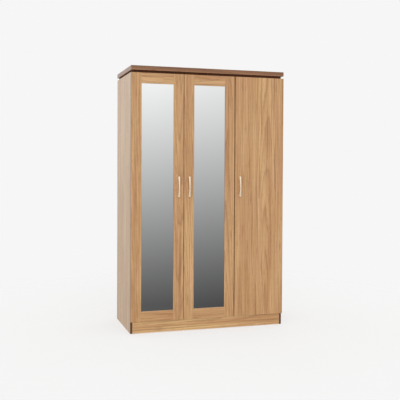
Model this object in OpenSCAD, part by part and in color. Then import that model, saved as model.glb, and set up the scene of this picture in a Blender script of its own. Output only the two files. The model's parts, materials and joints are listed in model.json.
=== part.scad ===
// Three-door wardrobe with two framed mirror doors, one plain door and a raised top board.
// Millimetres, +Z up, the doors face -Y, the floor is z = 0.
// The origin is under the middle of the whole outline, handles included.

/* [Overall size] */
// Height from the floor to the upper face of the top board
overall_height = 1825; // [1700:5:2100]
// Width across the three doors
overall_width = 1113; // [900:3:1500]
// Depth from the door fronts to the nail heads behind the back
overall_depth = 520; // [480:5:620]

/* [Boards] */
// Thickness of the oak boards
board_t = 15; // [12:1:18]
// Thickness of the walnut top board
top_board_t = 30; // [18:1:40]
// Height of the shadow gap under the top board
shadow_gap = 15; // [8:1:30]
// How far the spacer strips stand in from the sides
spacer_inset = 14; // [5:1:40]
// Width of each spacer strip
spacer_w = 18; // [15:1:40]
// Thickness of the walnut edging on the side panels
edging_t = 1; // [0.4:0.2:2]
// Height of the underside of the bottom board
plinth_h = 82; // [60:1:120]
// Height of the floor glides
glide_h = 3; // [2:1:10]
// Diameter of the floor glides
glide_d = 14; // [10:1:15]

/* [Back] */
// Thickness of the back sheets
back_t = 3; // [2:0.5:5]
// Thickness of the nail heads and of the joint strip flange
nail_head_t = 1; // [0.5:0.1:2]
// Diameter of the nail heads
nail_head_d = 6; // [4:1:8]
// Diameter of the nail shanks
nail_d = 1.6; // [1.2:0.1:2.4]
// Length of the nails below the sheet
nail_bite = 14; // [8:1:20]
// Width of the strip that joins two back sheets
joint_strip_w = 24; // [16:1:40]

/* [Doors] */
// Clear gap between two closed doors
door_gap = 3; // [2:0.5:5]
// How much narrower the plain door is, which opens its gap to the middle door
plain_door_relief = 2; // [0:0.5:3]
// Thickness of the doors
door_t = 15; // [15:1:22]
// Height of the lower edge of the doors
door_bottom_z = 84; // [70:1:130]
// Gap between the doors and the top board
door_top_gap = 17; // [10:1:30]
// Width of the upright frame members
stile_w = 72; // [50:1:100]
// Height of the upper cross member
top_rail_h = 72; // [50:1:120]
// Height of the lower cross member
bottom_rail_h = 70; // [50:1:120]
// Thickness of the mirror glass
mirror_t = 4; // [3:1:5]
// Thickness of the board behind the mirror
backing_t = 3; // [2:0.5:4]
// How far the mirror stands back from the face of the frame
mirror_set_back = 3.5; // [2:0.5:5]
// Width of the rebate that holds the mirror
rebate_w = 8; // [6:1:12]
// Clearance round the mirror in its rebate
mirror_play = 1; // [0.5:0.5:2]

/* [Handles] */
// Distance between the two screws of a handle
handle_centres = 128; // [96:32:192]
// Length of each foot of a handle
handle_foot = 14; // [12:1:18]
// Height of the middle of a handle above the face of the door
handle_reach = 27; // [22:1:40]
// Height of the ends of a handle above the face of the door
handle_end_reach = 19; // [12:1:20]
// Width of a handle at its ends
handle_end_w = 11; // [10:1:16]
// Width of a handle at its middle
handle_waist_w = 8.5; // [6:0.5:9.5]
// Thickness of a handle at its middle
handle_t = 5; // [4:0.5:8]
// Height of the middle of the handles above the floor
handle_z = 1004; // [850:1:1150]
// Distance of the handle from the free edge of its door
handle_inset = 36; // [25:1:60]

/* [Hinges] */
// Distance of the lowest and highest hinge from the ends of the door
hinge_end_distance = 100; // [70:5:150]
// Number of hinges on each door
hinge_count = 4; // [2:1:5]

/* [Inside] */
// Height of the underside of the hat shelf
hat_shelf_z = 1480; // [1400:10:1600]
// Height of the middle of the hanging rail
rail_z = 1435; // [1350:5:1550]
// Diameter of the hanging rail
rail_d = 25; // [20:1:32]
// Wall thickness of the hanging rail
rail_wall = 1.2; // [0.8:0.1:2]
// Distance of a loose shelf's edge from the front of the carcass
shelf_set_back = 20; // [10:5:80]
// Side clearance of a loose shelf
shelf_play = 1; // [0.5:0.5:2]
// Diameter of the shelf pins
pin_d = 5; // [5:1:6]

/* [Hidden] */
$fn = 64;
large_steps = 720;
skin = 0.5;
fit = 0.05;
door_back_gap = 2;
loose_shelf_count = 3;

oak = [0.76, 0.60, 0.42];
walnut = [0.42, 0.28, 0.19];
dark_walnut = [0.20, 0.12, 0.08];
hardboard = [0.55, 0.40, 0.27];
silver = [0.80, 0.84, 0.86];
nickel = [0.80, 0.76, 0.70];
steel = [0.66, 0.67, 0.69];
zinc = [0.74, 0.75, 0.77];
white_plastic = [0.90, 0.90, 0.88];
clear_plastic = [0.80, 0.82, 0.80];

half_w = overall_width / 2;
door_w = (overall_width - 2 * door_gap) / 3;
plain_door_w = door_w - plain_door_relief;
bow_front_y = -(overall_depth + handle_reach) / 2;
door_front_y = bow_front_y + handle_reach;
carcass_front_y = door_front_y + door_t + door_back_gap;
back_face_y = -bow_front_y;
sheet_back_y = back_face_y - nail_head_t;
carcass_back_y = sheet_back_y - back_t;
inner_half_w = half_w - board_t;
middle_door_edge_x = half_w - door_w - door_gap;
partition_right_x = middle_door_edge_x + door_gap / 2 + board_t / 2;
partition_left_x = partition_right_x - board_t;
floor_board_top_z = plinth_h + board_t;
top_board_z = overall_height - top_board_t;
side_top_z = top_board_z - shadow_gap;
ceiling_z = side_top_z - board_t;
door_top_z = top_board_z - door_top_gap;
door_h = door_top_z - door_bottom_z;
joint_x = (partition_left_x - inner_half_w) / 2;

door_back_d = door_back_gap;
door_face_d = door_back_gap + door_t;
mirror_face_d = door_face_d - mirror_set_back;
mirror_back_d = mirror_face_d - mirror_t;
backing_back_d = mirror_back_d - backing_t;
rebate_low_z = door_bottom_z + bottom_rail_h - rebate_w;
rebate_high_z = door_top_z - top_rail_h + rebate_w;
tenon_l = 15;
tenon_t = 6;
tenon_back_d = door_back_d + (door_t - tenon_t) / 2;
tenon_face_d = tenon_back_d + tenon_t;
tenon_shoulder = 8;
tenon_gap = 0.1;
handle_e = door_w - handle_inset;

hinge_step = (door_h - 2 * hinge_end_distance) / (hinge_count - 1);
hinge_heights = [for (i = [0 : hinge_count - 1]) door_bottom_z + hinge_end_distance + i * hinge_step];
full_mount_e = board_t;
half_mount_e = (board_t - door_gap) / 2;

cup_bore_d = 35;
cup_bore_depth = 11.5;
cup_e = 22.5;
cup_wall = 0.8;
cup_fit = 0.05;
cup_flange_d = 39;
cup_flange_t = 1;
cup_screw_e = cup_e + 5.5;
cup_screw_spread = 24;
cup_wing_r = 6.5;
cup_screw_d = 3.5;
cup_screw_l = 11;
guide_z = 5;
guide_t = 1;
guide_low = [6.5, 2.5];
guide_high = [14, 12.8];
slot_low = [8.0, 3.2];
slot_high = [11.9, 10.3];

arm_pivot = [32, 7];
link_end = [10.2, 8.2];
link_bulge = 2.5;
link_steps = 10;
link_bar_r = 1;
link_eye_r = 3;
link_tip_r = 2;
link_half_z = 4;
tip_pin_r = 0.9;
tip_pin_half_z = 6.4;
pivot_pin_r = 1.5;
pivot_pin_half_z = 6.2;
cheek_low_z = 4.5;
cheek_t = 1.2;
nose_r = 4.5;
arm_rear_d = -70;
arm_web_e = 31;
arm_web_t = 1.2;
arm_skirt_e = 22;
nose_root_d = -8;
plate_t = 3;
plate_front_d = -14;
plate_rear_d = -62;
plate_half_z = 9;
wing_d = -37;
wing_half_d = 7;
wing_half_z = 24;
plate_screw_z = 16;
plate_screw_d = 5;
plate_screw_bite = 12;
plate_screw_head_d = 7.6;
plate_screw_head_t = 1.6;
boss_front_d = -20;
boss_half_z = 4.2;
boss_top_e = arm_web_e - 2 * fit;
arm_screw_d = 5;
arm_screw_depth = -54;
arm_screw_bite = 9;
arm_screw_head_d = 8;
arm_screw_head_t = 2;

bumper_d = 8;
bumper_t = 1.6;
bumper_inset = 9;
bumper_edge = 7;

handle_half = (handle_centres + handle_foot) / 2;
bow_rise = handle_reach - handle_end_reach;
bow_r = (handle_half * handle_half + bow_rise * bow_rise) / (2 * bow_rise);
bow_centre_d = door_face_d + handle_reach - bow_r;
arch_half = handle_half - handle_foot;
arch_rise = handle_reach - handle_t;
arch_r = (arch_half * arch_half + arch_rise * arch_rise) / (2 * arch_rise);
arch_centre_d = door_face_d + arch_rise - arch_r;
handle_corner = 2.5;
waist_half = handle_half / 4;
taper_half = handle_half - handle_foot / 2;
handle_screw_d = 4;
handle_screw_bite = 5;
handle_screw_head_d = 8;
handle_screw_head_t = 2.4;

rail_y = (carcass_front_y + carcass_back_y) / 2;
socket_flange_d = 50;
socket_flange_t = 3;
socket_d = 31;
socket_l = 14;
socket_screw_spread = 20;
socket_screw_d = 4;
socket_screw_bite = 12;
socket_screw_head_d = 7;
socket_screw_head_t = 1.8;
shelf_step = (ceiling_z - floor_board_top_z) / (loose_shelf_count + 1);
loose_shelf_heights = [for (i = [1 : loose_shelf_count]) floor_board_top_z + i * shelf_step - board_t / 2];
pin_bite = 8;
pin_collar_d = pin_d + 3;
pin_collar_t = 1;
pin_row_inset = 57;
pin_reach = 9;
pin_rows_y = [carcass_front_y + pin_row_inset, carcass_back_y - pin_row_inset];
pin_hole_pitch = 32;
pin_hole_reach = 2;
hat_set_back = 25;
hat_front_y = carcass_front_y + hat_set_back;

cam_d = 15;
cam_depth = 12.5;
cam_fit = 0.1;
cam_reach = 24;
cam_wall = 3;
cam_floor = 2.5;
cam_slot_w = 4.6;
cam_cross_w = 1.6;
cam_cross_l = 9;
cam_cross_depth = 1.2;
bolt_d = 4;
bolt_head_d = 6.5;
bolt_head_l = 2;
bolt_thread_d = 5.8;
bolt_bite = 11;
bolt_bore_d = 7;

top_screw_d = 4;
top_screw_head_d = 8;
top_screw_head_t = 2;
top_screw_bite = 15;
spacer_front_y = carcass_front_y + 1;
spacer_back_y = carcass_back_y - 1;
front_screw_pitch = 320;
side_screw_front = 80;
side_screw_back = 40;
side_screw_rows = [spacer_front_y + side_screw_front, rail_y, spacer_back_y - side_screw_back];
front_screw_x = [-front_screw_pitch, 0, front_screw_pitch];
spacer_line_x = half_w - spacer_inset - spacer_w / 2;
spacer_line_y = spacer_front_y + spacer_w / 2;

plinth_back_inset = 30;
plinth_back_y = carcass_back_y - plinth_back_inset;
cam_row_inset = 50;
cam_rows_y = [carcass_front_y + cam_row_inset, carcass_back_y - cam_row_inset];
plinth_cam_inset = 20;
plinth_cam_z = [glide_h + plinth_cam_inset, plinth_h - plinth_cam_inset];
glide_inset = 40;
glide_inset_middle = 60;
strip_web_t = 1;
nail_pitch = 140;
nail_line_x = half_w - board_t / 2;
nail_line_mid_x = partition_left_x + board_t / 2;
nail_line_low_z = plinth_h + board_t / 2;
nail_line_high_z = side_top_z - board_t / 2;
nail_end = 45;
sheet_edge = 3;
sheet_gap = 1.4;

// ---------- helpers ----------

// A box from its low corner to its high corner.
module box(low, high) {
    translate(low)
        cube(high - low);
}

// A round bar along +X from the origin.
module bar_x(d, l) {
    rotate([0, 90, 0])
        cylinder(d = d, h = l);
}

// A round bar towards the viewer, along -Y, from the origin.
module bar_front(d, l) {
    rotate([90, 0, 0])
        cylinder(d = d, h = l);
}

// Large curves need more steps than small ones.
module large_bar_x(d, l) {
    rotate([0, 90, 0])
        cylinder(d = d, h = l, $fn = large_steps);
}

// The frame of a door: x runs from the hinged edge inwards, -y runs forward from the carcass.
module left_door() {
    translate([-half_w, carcass_front_y, 0])
        children();
}

module middle_door() {
    translate([middle_door_edge_x, carcass_front_y, 0])
        mirror([1, 0, 0])
            children();
}

module right_door() {
    translate([half_w, carcass_front_y, 0])
        mirror([1, 0, 0])
            children();
}

// A box in a door's frame, given as [edge distance, forward distance, height].
module door_box(low, high) {
    box([low[0], -high[1], low[2]], [high[0], -low[1], high[2]]);
}

module at_hinges() {
    for (h = hinge_heights)
        translate([0, 0, h])
            children();
}

// ---------- cam fittings ----------
// Frame of one fitting: the board runs along +x from the joint, its cam face is z = 0
// and its far face is z = board_t. The bolt lies half way through the board.

module cam_bore() {
    translate([cam_reach, 0, -skin])
        cylinder(d = cam_d, h = cam_depth + skin);
    translate([-skin, 0, board_t / 2])
        bar_x(bolt_bore_d, cam_reach + skin);
}

module bolt_bore() {
    translate([-bolt_bite - skin / 2, 0, board_t / 2])
        bar_x(bolt_thread_d, bolt_bite + skin / 2 + skin);
}

module cam() {
    translate([cam_reach, 0, 0])
        difference() {
            translate([0, 0, cam_fit])
                cylinder(d = cam_d - 2 * cam_fit, h = cam_depth - 2 * cam_fit);
            translate([0, 0, cam_floor])
                cylinder(d = cam_d - 2 * cam_wall, h = cam_depth);
            translate([-cam_d, -cam_slot_w / 2, cam_floor])
                cube([cam_d, cam_slot_w, cam_depth]);
            translate([-cam_cross_l / 2, -cam_cross_w / 2, -skin])
                cube([cam_cross_l, cam_cross_w, cam_cross_depth + skin]);
            translate([-cam_cross_w / 2, -cam_cross_l / 2, -skin])
                cube([cam_cross_w, cam_cross_l, cam_cross_depth + skin]);
        }
}

module bolt() {
    translate([0, 0, board_t / 2]) {
        translate([-bolt_bite, 0, 0])
            bar_x(bolt_thread_d - 2 * fit, bolt_bite - fit);
        translate([-skin, 0, 0])
            bar_x(bolt_d, cam_reach);
        translate([cam_reach - bolt_head_l, 0, 0])
            bar_x(bolt_head_d, bolt_head_l);
    }
}

// Boards with the cams underneath: bottom board and hat shelf.
module at_board_ends_below(left_x, right_x, z) {
    for (y = cam_rows_y) {
        translate([left_x, y, z])
            children();
        translate([right_x, y, z])
            rotate([0, 0, 180])
                children();
    }
}

// Board with the cams on top: the carcass top.
module at_board_ends_above(left_x, right_x, z) {
    for (y = cam_rows_y) {
        translate([left_x, y, z])
            rotate([180, 0, 0])
                children();
        translate([right_x, y, z])
            rotate([180, 0, 180])
                children();
    }
}

// The partition stands between two boards, with its cams in the right compartment.
module at_partition_ends() {
    for (y = cam_rows_y) {
        translate([partition_right_x, y, floor_board_top_z])
            rotate([0, -90, 0])
                children();
        translate([partition_right_x, y, ceiling_z])
            rotate([0, 90, 0])
                mirror([0, 0, 1])
                    children();
    }
}

// Plinth boards, with the cams on the side away from the room.
module at_plinth_ends(face_y, turn) {
    for (z = plinth_cam_z) {
        translate([-inner_half_w, face_y, z])
            rotate([turn, 0, 0])
                children();
        translate([inner_half_w, face_y, z])
            mirror([1, 0, 0])
                rotate([turn, 0, 0])
                    children();
    }
}

module at_bottom_cams() {
    at_board_ends_below(-inner_half_w, inner_half_w, plinth_h)
        children();
}

module at_ceiling_cams() {
    at_board_ends_above(-inner_half_w, inner_half_w, side_top_z)
        children();
}

module at_hat_cams() {
    at_board_ends_below(-inner_half_w, partition_left_x, hat_shelf_z)
        children();
}

module at_plinth_cams() {
    at_plinth_ends(carcass_front_y + board_t, 90)
        children();
    at_plinth_ends(plinth_back_y, -90)
        children();
}

module at_side_cams() {
    at_bottom_cams()
        children();
    at_ceiling_cams()
        children();
    at_hat_cams()
        children();
    at_plinth_cams()
        children();
}

// ---------- other repeated places ----------

function nail_places(low, high) =
    let (n = ceil((high - low) / nail_pitch))
    [for (i = [0 : n]) low + i * (high - low) / n];

module at_upright_nails(x) {
    for (z = nail_places(nail_line_low_z + nail_end, nail_line_high_z - nail_end))
        translate([x, 0, z])
            children();
}

// A level row of nails that leaves out the joint strip and the uprights.
module at_level_nails(z) {
    for (x = nail_places(-nail_line_x + nail_end, joint_x - nail_end))
        translate([x, 0, z])
            children();
    for (x = nail_places(joint_x + nail_end, nail_line_mid_x - nail_end))
        translate([x, 0, z])
            children();
    for (x = nail_places(nail_line_mid_x + nail_end, nail_line_x - nail_end))
        translate([x, 0, z])
            children();
}

module nail() {
    translate([0, back_face_y, 0])
        bar_front(nail_head_d, nail_head_t);
    translate([0, sheet_back_y + skin, 0])
        bar_front(nail_d, back_t + nail_bite + skin);
}

module nail_bore() {
    translate([0, sheet_back_y + skin, 0])
        bar_front(nail_d + 2 * fit, back_t + nail_bite + 2 * skin);
}

// One upright row of pin holes on each of two lines, around each loose shelf.
module at_pin_holes(x, dir) {
    for (y = pin_rows_y)
        for (h = loose_shelf_heights)
            for (i = [-pin_hole_reach : pin_hole_reach])
                translate([x, y, h - pin_d / 2 + i * pin_hole_pitch])
                    rotate([0, 0, dir])
                        children();
}

module at_pins(x, dir) {
    for (y = pin_rows_y)
        for (h = loose_shelf_heights)
            translate([x, y, h - pin_d / 2 - fit])
                rotate([0, 0, dir])
                    children();
}

module pin_hole() {
    translate([-pin_bite - skin, 0, -fit])
        bar_x(pin_d + 2 * fit, pin_bite + 2 * skin);
}

module at_plate_screws(mount_e) {
    at_hinges()
        for (s = [-1, 1])
            translate([mount_e + plate_t, -wing_d, s * plate_screw_z])
                children();
}

module plate_screw_bores(mount_e) {
    at_plate_screws(mount_e)
        translate([-plate_t - plate_screw_bite - skin, 0, 0])
            bar_x(plate_screw_d, plate_t + plate_screw_bite + skin);
}

module at_socket_screws() {
    for (s = [-1, 1]) {
        translate([-inner_half_w, rail_y + s * socket_screw_spread, rail_z])
            children();
        translate([partition_left_x, rail_y + s * socket_screw_spread, rail_z])
            mirror([1, 0, 0])
                children();
    }
}

module socket_screw_bore() {
    translate([-socket_screw_bite - skin, 0, 0])
        bar_x(socket_screw_d, socket_screw_bite + socket_flange_t + 2 * skin);
}

module at_top_screws() {
    for (x = front_screw_x)
        translate([x, spacer_line_y, 0])
            children();
    for (s = [-1, 1])
        for (y = side_screw_rows)
            translate([s * spacer_line_x, y, 0])
                children();
}

module top_screw_bore() {
    translate([0, 0, ceiling_z - skin])
        cylinder(d = top_screw_d, h = board_t + shadow_gap + top_screw_bite + 2 * skin);
}

// ---------- carcass ----------

module side_panel() {
    box([-half_w, carcass_front_y + edging_t, glide_h], [-inner_half_w, carcass_back_y, side_top_z]);
}

module side_panel_left() {
    color(oak)
        difference() {
            side_panel();
            at_side_cams()
                bolt_bore();
            at_upright_nails(-nail_line_x)
                nail_bore();
            left_door()
                plate_screw_bores(full_mount_e);
            at_socket_screws()
                socket_screw_bore();
        }
}

module side_panel_right() {
    color(oak)
        difference() {
            mirror([1, 0, 0])
                side_panel();
            at_bottom_cams()
                bolt_bore();
            at_ceiling_cams()
                bolt_bore();
            at_plinth_cams()
                bolt_bore();
            at_upright_nails(nail_line_x)
                nail_bore();
            right_door()
                plate_screw_bores(full_mount_e);
            at_pin_holes(inner_half_w, 180)
                pin_hole();
        }
}

module side_edging() {
    color(walnut)
        for (s = [0, 1])
            mirror([s, 0, 0])
                box([-half_w, carcass_front_y, glide_h],
                    [-inner_half_w, carcass_front_y + edging_t, side_top_z]);
}

module centre_partition() {
    color(oak)
        difference() {
            box([partition_left_x, carcass_front_y, floor_board_top_z],
                [partition_right_x, carcass_back_y, ceiling_z]);
            at_partition_ends()
                cam_bore();
            at_hat_cams()
                bolt_bore();
            at_upright_nails(nail_line_mid_x)
                nail_bore();
            middle_door()
                plate_screw_bores(half_mount_e);
            at_socket_screws()
                socket_screw_bore();
            at_pin_holes(partition_right_x, 0)
                pin_hole();
        }
}

module bottom_board() {
    color(oak)
        difference() {
            box([-inner_half_w, carcass_front_y, plinth_h],
                [inner_half_w, carcass_back_y, floor_board_top_z]);
            at_bottom_cams()
                cam_bore();
            at_partition_ends()
                bolt_bore();
            at_level_nails(nail_line_low_z)
                nail_bore();
        }
}

module carcass_top() {
    color(oak)
        difference() {
            box([-inner_half_w, carcass_front_y, ceiling_z],
                [inner_half_w, carcass_back_y, side_top_z]);
            at_ceiling_cams()
                cam_bore();
            at_partition_ends()
                bolt_bore();
            at_level_nails(nail_line_high_z)
                nail_bore();
            at_top_screws()
                top_screw_bore();
        }
}

module top_board() {
    color(walnut)
        difference() {
            box([-half_w, door_front_y, top_board_z], [half_w, sheet_back_y, overall_height]);
            at_top_screws()
                top_screw_bore();
        }
}

module spacer_strips() {
    color(dark_walnut)
        difference() {
            union() {
                box([-half_w + spacer_inset, spacer_front_y, side_top_z],
                    [half_w - spacer_inset, spacer_front_y + spacer_w, top_board_z]);
                for (s = [0, 1])
                    mirror([s, 0, 0])
                        box([-half_w + spacer_inset, spacer_front_y + spacer_w + skin, side_top_z],
                            [-half_w + spacer_inset + spacer_w, spacer_back_y, top_board_z]);
            }
            at_top_screws()
                top_screw_bore();
        }
}

module plinth_front() {
    color(oak)
        difference() {
            box([-inner_half_w, carcass_front_y, glide_h],
                [inner_half_w, carcass_front_y + board_t, plinth_h]);
            at_plinth_ends(carcass_front_y + board_t, 90)
                cam_bore();
        }
}

module plinth_back() {
    color(oak)
        difference() {
            box([-inner_half_w, plinth_back_y, glide_h],
                [inner_half_w, plinth_back_y + board_t, plinth_h]);
            at_plinth_ends(plinth_back_y, -90)
                cam_bore();
        }
}

module plinth_support() {
    color(oak)
        box([partition_left_x, carcass_front_y + board_t, glide_h],
            [partition_right_x, plinth_back_y, plinth_h]);
}

// ---------- back ----------

module back_sheet(left_x, right_x) {
    box([left_x, carcass_back_y, plinth_h + sheet_edge],
        [right_x, sheet_back_y, side_top_z - sheet_edge]);
}

module back_panel_left() {
    color(hardboard)
        difference() {
            back_sheet(-half_w + sheet_edge, joint_x - sheet_gap / 2);
            at_upright_nails(-nail_line_x)
                nail_bore();
            at_level_nails(nail_line_low_z)
                nail_bore();
            at_level_nails(nail_line_high_z)
                nail_bore();
        }
}

module back_panel_middle() {
    color(hardboard)
        difference() {
            back_sheet(joint_x + sheet_gap / 2, nail_line_mid_x - sheet_gap);
            at_level_nails(nail_line_low_z)
                nail_bore();
            at_level_nails(nail_line_high_z)
                nail_bore();
            at_upright_nails(nail_line_mid_x)
                nail_bore();
        }
}

module back_panel_right() {
    color(hardboard)
        difference() {
            back_sheet(nail_line_mid_x - sheet_gap + skin, half_w - sheet_edge);
            at_upright_nails(nail_line_x)
                nail_bore();
            at_upright_nails(nail_line_mid_x)
                nail_bore();
            at_level_nails(nail_line_low_z)
                nail_bore();
            at_level_nails(nail_line_high_z)
                nail_bore();
        }
}

module back_joint_strip() {
    low_z = floor_board_top_z + skin;
    high_z = ceiling_z - skin;
    color(white_plastic)
        difference() {
            union() {
                box([joint_x - joint_strip_w / 2, sheet_back_y, low_z],
                    [joint_x + joint_strip_w / 2, back_face_y, high_z]);
                box([joint_x - joint_strip_w / 2, carcass_back_y - nail_head_t, low_z],
                    [joint_x + joint_strip_w / 2, carcass_back_y, high_z]);
                box([joint_x - strip_web_t / 2, carcass_back_y - nail_head_t, low_z],
                    [joint_x + strip_web_t / 2, back_face_y, high_z]);
            }
            box([joint_x - joint_strip_w, hat_front_y, hat_shelf_z - skin],
                [joint_x + joint_strip_w, carcass_back_y, hat_shelf_z + board_t + skin]);
        }
}

module back_nails() {
    color(steel) {
        at_upright_nails(-nail_line_x)
            nail();
        at_upright_nails(nail_line_mid_x)
            nail();
        at_upright_nails(nail_line_x)
            nail();
        at_level_nails(nail_line_low_z)
            nail();
        at_level_nails(nail_line_high_z)
            nail();
    }
}

// ---------- inside ----------

module hat_shelf() {
    color(oak)
        difference() {
            box([-inner_half_w, hat_front_y, hat_shelf_z],
                [partition_left_x, carcass_back_y, hat_shelf_z + board_t]);
            at_hat_cams()
                cam_bore();
        }
}

module hanging_rail() {
    color(steel)
        translate([-inner_half_w + socket_flange_t, rail_y, rail_z])
            difference() {
                bar_x(rail_d, partition_left_x + inner_half_w - 2 * socket_flange_t);
                translate([-skin, 0, 0])
                    bar_x(rail_d - 2 * rail_wall, partition_left_x + inner_half_w);
            }
}

module rail_socket() {
    difference() {
        union() {
            bar_x(socket_flange_d, socket_flange_t);
            bar_x(socket_d, socket_l);
        }
        translate([socket_flange_t, 0, 0])
            bar_x(rail_d + 2 * fit, socket_l);
    }
}

module rail_sockets() {
    color(zinc)
        difference() {
            union() {
                translate([-inner_half_w, rail_y, rail_z])
                    rail_socket();
                translate([partition_left_x, rail_y, rail_z])
                    mirror([1, 0, 0])
                        rail_socket();
            }
            at_socket_screws()
                socket_screw_bore();
        }
}

module loose_shelf(z) {
    color(oak)
        box([partition_right_x + shelf_play, carcass_front_y + shelf_set_back, z],
            [inner_half_w - shelf_play, carcass_back_y - shelf_play, z + board_t]);
}

module shelf_lower() {
    loose_shelf(loose_shelf_heights[0]);
}

module shelf_middle() {
    loose_shelf(loose_shelf_heights[1]);
}

module shelf_upper() {
    loose_shelf(loose_shelf_heights[2]);
}

module shelf_pin() {
    translate([-pin_bite, 0, 0])
        bar_x(pin_d, pin_bite + pin_reach);
    bar_x(pin_collar_d, pin_collar_t);
}

module shelf_pins() {
    color(zinc)
        intersection() {
            union() {
                at_pins(partition_right_x, 0)
                    shelf_pin();
                at_pins(inner_half_w, 180)
                    shelf_pin();
            }
            for (h = loose_shelf_heights)
                box([partition_left_x, carcass_front_y, h - shelf_step / 2],
                    [half_w, carcass_back_y, h - fit]);
        }
}

// ---------- fittings ----------

module cam_locks() {
    color(zinc) {
        at_side_cams()
            cam();
        at_partition_ends()
            cam();
    }
}

module cam_bolts() {
    color(zinc) {
        at_side_cams()
            bolt();
        at_partition_ends()
            bolt();
    }
}

module glide() {
    cylinder(d = glide_d, h = glide_h);
}

module floor_glides() {
    glide_x = partition_left_x + board_t / 2;
    color(white_plastic) {
        for (s = [-1, 1])
            for (y = [carcass_front_y + glide_inset, carcass_back_y - glide_inset])
                translate([s * nail_line_x, y, 0])
                    glide();
        for (y = [carcass_front_y + glide_inset_middle, plinth_back_y - glide_inset_middle])
            translate([glide_x, y, 0])
                glide();
        translate([joint_x, carcass_front_y + board_t / 2, 0])
            glide();
        translate([joint_x, plinth_back_y + board_t / 2, 0])
            glide();
    }
}

module socket_screw() {
    translate([-socket_screw_bite, 0, 0])
        bar_x(socket_screw_d - 2 * fit, socket_screw_bite + socket_flange_t);
    translate([socket_flange_t, 0, 0])
        bar_x(socket_screw_head_d, socket_screw_head_t);
}

module top_screw() {
    translate([0, 0, ceiling_z - top_screw_head_t])
        cylinder(d = top_screw_head_d, h = top_screw_head_t);
    translate([0, 0, ceiling_z - fit])
        cylinder(d = top_screw_d - 2 * fit, h = board_t + shadow_gap + top_screw_bite);
}

module hinge_fixings(mount_e) {
    at_plate_screws(mount_e) {
        translate([-plate_t - plate_screw_bite, 0, 0])
            bar_x(plate_screw_d - 2 * fit, plate_t + plate_screw_bite);
        bar_x(plate_screw_head_d, plate_screw_head_t);
    }
    at_hinges()
        translate([arm_web_e + arm_web_t, -arm_screw_depth, 0]) {
            bar_x(arm_screw_head_d, arm_screw_head_t);
            translate([-arm_web_t - arm_screw_bite, 0, 0])
                bar_x(arm_screw_d - 2 * fit, arm_web_t + arm_screw_bite);
        }
}

module carcass_screws() {
    color(zinc) {
        at_socket_screws()
            socket_screw();
        at_top_screws()
            top_screw();
        left_door()
            hinge_fixings(full_mount_e);
        middle_door()
            hinge_fixings(half_mount_e);
        right_door()
            hinge_fixings(full_mount_e);
    }
}

// ---------- hinges, in a door's frame ----------

module hinge_plate(mount_e) {
    difference() {
        union() {
            door_box([mount_e, plate_rear_d, -plate_half_z],
                     [mount_e + plate_t, plate_front_d, plate_half_z]);
            door_box([mount_e, wing_d - wing_half_d, -wing_half_z],
                     [mount_e + plate_t, wing_d + wing_half_d, wing_half_z]);
            door_box([mount_e, plate_rear_d, -boss_half_z],
                     [boss_top_e, boss_front_d, boss_half_z]);
        }
        for (s = [-1, 1])
            translate([mount_e - skin, -wing_d, s * plate_screw_z])
                bar_x(plate_screw_d, plate_t + 2 * skin);
        translate([boss_top_e - arm_screw_bite - skin, -arm_screw_depth, 0])
            bar_x(arm_screw_d, arm_screw_bite + 2 * skin);
    }
}

module hinge_plates() {
    color(zinc) {
        left_door()
            at_hinges()
                hinge_plate(full_mount_e);
        middle_door()
            at_hinges()
                hinge_plate(half_mount_e);
        right_door()
            at_hinges()
                hinge_plate(full_mount_e);
    }
}

module arm_cheek() {
    translate([0, 0, cheek_low_z]) {
        door_box([arm_skirt_e, arm_rear_d, 0], [arm_web_e + arm_web_t, nose_root_d, cheek_t]);
        door_box([arm_pivot[0] - nose_r, nose_root_d - skin, 0],
                 [arm_pivot[0] + nose_r, arm_pivot[1], cheek_t]);
        translate([arm_pivot[0], -arm_pivot[1], 0])
            cylinder(r = nose_r, h = cheek_t);
    }
}

module hinge_arm() {
    cheek_top = cheek_low_z + cheek_t;
    difference() {
        union() {
            door_box([arm_web_e, arm_rear_d, -cheek_top],
                     [arm_web_e + arm_web_t, nose_root_d, cheek_top]);
            arm_cheek();
            mirror([0, 0, 1])
                arm_cheek();
            translate([arm_pivot[0], -arm_pivot[1], -pivot_pin_half_z])
                cylinder(r = pivot_pin_r, h = 2 * pivot_pin_half_z);
        }
        translate([arm_web_e - skin, -arm_screw_depth, 0])
            bar_x(arm_screw_d, arm_web_t + 2 * skin);
    }
}

module hinge_arms() {
    color(steel) {
        left_door()
            at_hinges()
                hinge_arm();
        middle_door()
            at_hinges()
                hinge_arm();
        right_door()
            at_hinges()
                hinge_arm();
    }
}

// A point on one edge of the link's bar, t from 0 at the pivot to 1 at the tip.
// The bar bows towards the floor of the cup, and side is -1 or 1.
function link_edge(t, side) =
    let (run = link_end - arm_pivot)
    let (bow = 4 * link_bulge * t * (1 - t) + side * link_bar_r)
    let (across = [run[1], -run[0]] / norm(run))
    arm_pivot + run * t + across * bow;

// The link is a curved bar from the arm's pivot to a tip that rides in the slots of the cup.
module hinge_link() {
    there = [for (i = [0 : link_steps]) link_edge(i / link_steps, -1)];
    back = [for (i = [0 : link_steps]) link_edge(1 - i / link_steps, 1)];
    outline = [for (p = concat(there, back)) [p[0], -p[1]]];
    difference() {
        union() {
            translate([0, 0, -link_half_z])
                linear_extrude(height = 2 * link_half_z)
                    polygon(outline);
            translate([arm_pivot[0], -arm_pivot[1], -link_half_z])
                cylinder(r = link_eye_r, h = 2 * link_half_z);
            translate([link_end[0], -link_end[1], -link_half_z])
                cylinder(r = link_tip_r, h = 2 * link_half_z);
            translate([link_end[0], -link_end[1], -tip_pin_half_z])
                cylinder(r = tip_pin_r, h = 2 * tip_pin_half_z);
        }
        translate([arm_pivot[0], -arm_pivot[1], -link_half_z - skin])
            cylinder(r = pivot_pin_r + fit, h = 2 * link_half_z + 2 * skin);
    }
}

module hinge_links_left() {
    color(steel)
        left_door()
            at_hinges()
                hinge_link();
}

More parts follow.
